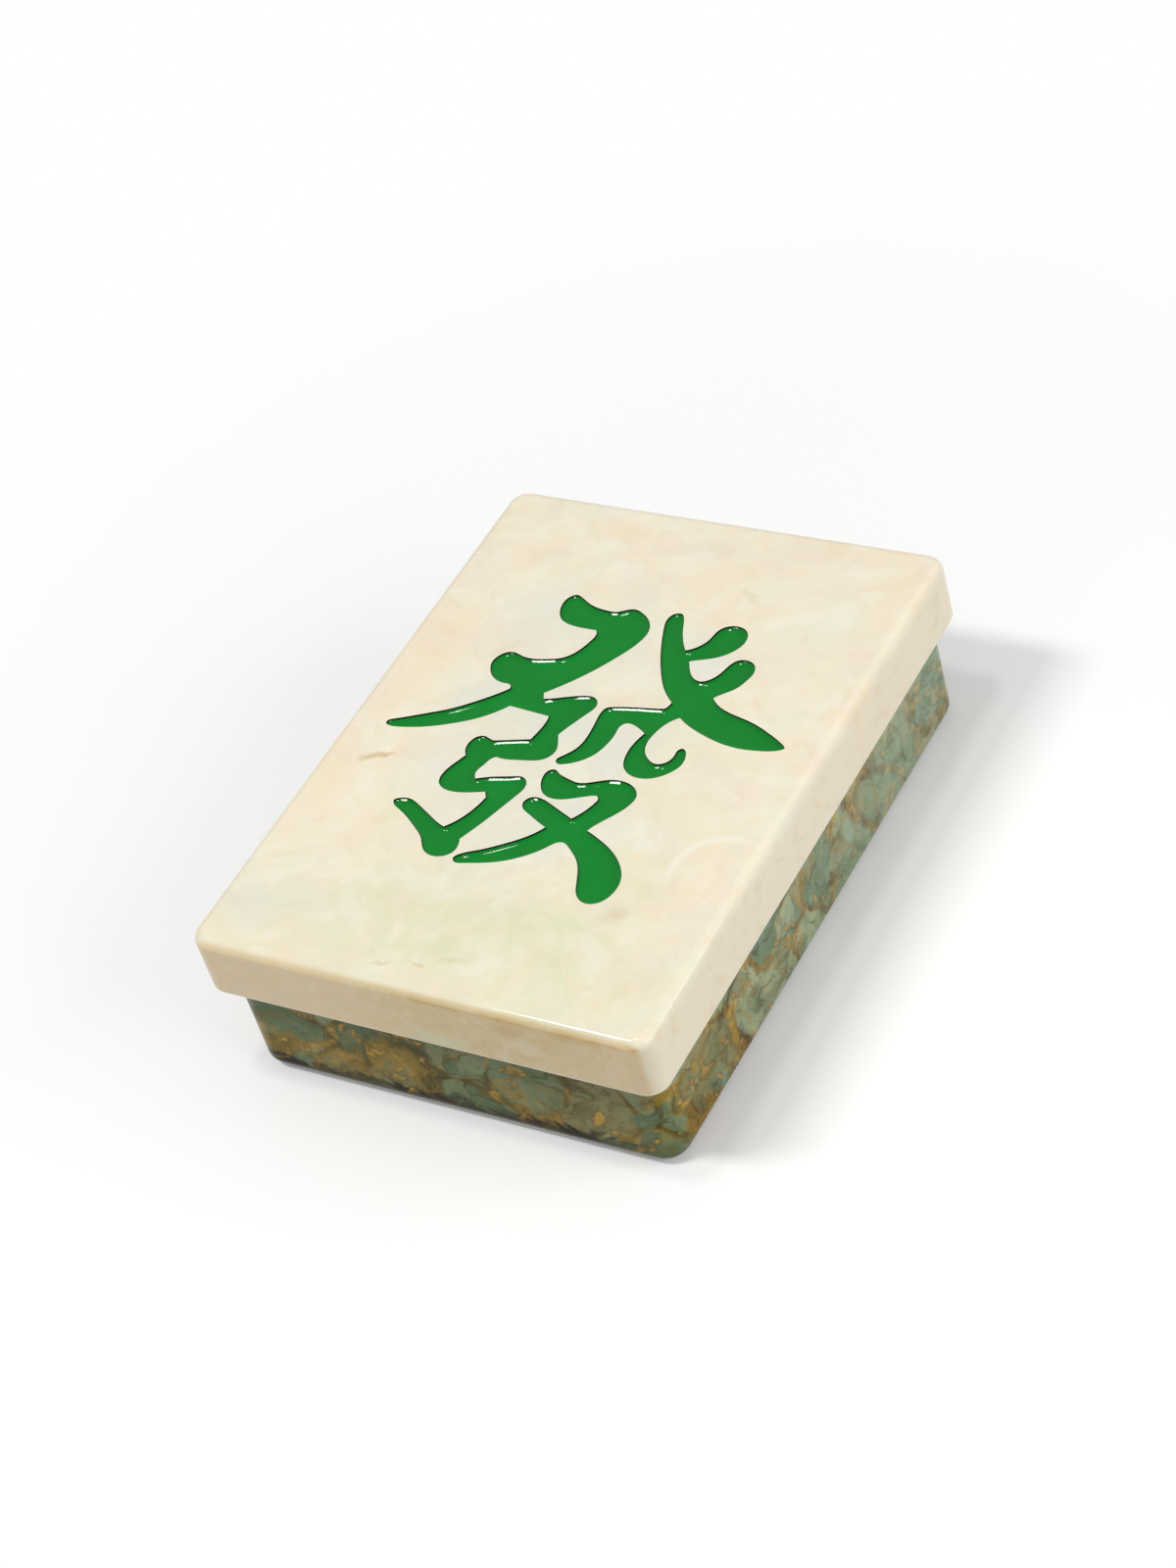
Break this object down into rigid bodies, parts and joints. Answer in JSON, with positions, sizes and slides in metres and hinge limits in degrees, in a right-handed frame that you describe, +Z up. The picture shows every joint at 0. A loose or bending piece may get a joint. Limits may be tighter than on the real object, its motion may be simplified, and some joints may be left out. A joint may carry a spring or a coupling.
{
  "type": "mahjong case",
  "caption": "Marbled mahjong case with a drop-over lid, a green inlaid tile figure, felt-lined tile wells and a lift-out tray.",
  "frame": {"origin": "middle of the case, on the surface that its feet stand on", "axes": "+X along the short side, +Y along the long side towards the top of the lid's figure, +Z up"},
  "size_m": [0.223, 0.3, 0.0855],
  "materials": {
    "ivory_lid_resin": "gloss",
    "marbled_base_resin": "gloss",
    "green_enamel": "gloss",
    "ivory_acrylic": "satin",
    "felt": "matte",
    "soft_rubber": "matte"
  },
  "bodies": {
    "base": {"base_shell": "marbled_base_resin", "base_floor_lining": "felt", "wall_lining_front": "felt", "wall_lining_back": "felt", "wall_lining_left": "felt", "wall_lining_right": "felt", "well_divider_long": "ivory_acrylic", "well_divider_cross": "ivory_acrylic", "foot_front_left": "soft_rubber", "foot_front_right": "soft_rubber", "foot_back_left": "soft_rubber", "foot_back_right": "soft_rubber", "rim_pad_front": "soft_rubber", "rim_pad_back": "soft_rubber", "rim_pad_left": "soft_rubber", "rim_pad_right": "soft_rubber"},
    "tray": {"tray_shell": "ivory_acrylic", "tray_divider_long": "ivory_acrylic", "tray_divider_cross": "ivory_acrylic", "tray_lining_channel": "felt", "tray_lining_front": "felt", "tray_lining_back": "felt"},
    "lid": {"lid_shell": "ivory_lid_resin", "lid_lining": "felt", "green_inlay_left": "green_enamel", "green_inlay_right": "green_enamel", "green_inlay_lower": "green_enamel"}
  },
  "joints": [
    {"name": "tray_lift", "type": "slide", "parent": "base", "child": "tray", "axis": [0, 0, 1], "range_m": [0, 0.08]},
    {"name": "lid_lift", "type": "slide", "parent": "tray", "child": "lid", "axis": [0, 0, 1], "range_m": [0, 0.16]}
  ]
}
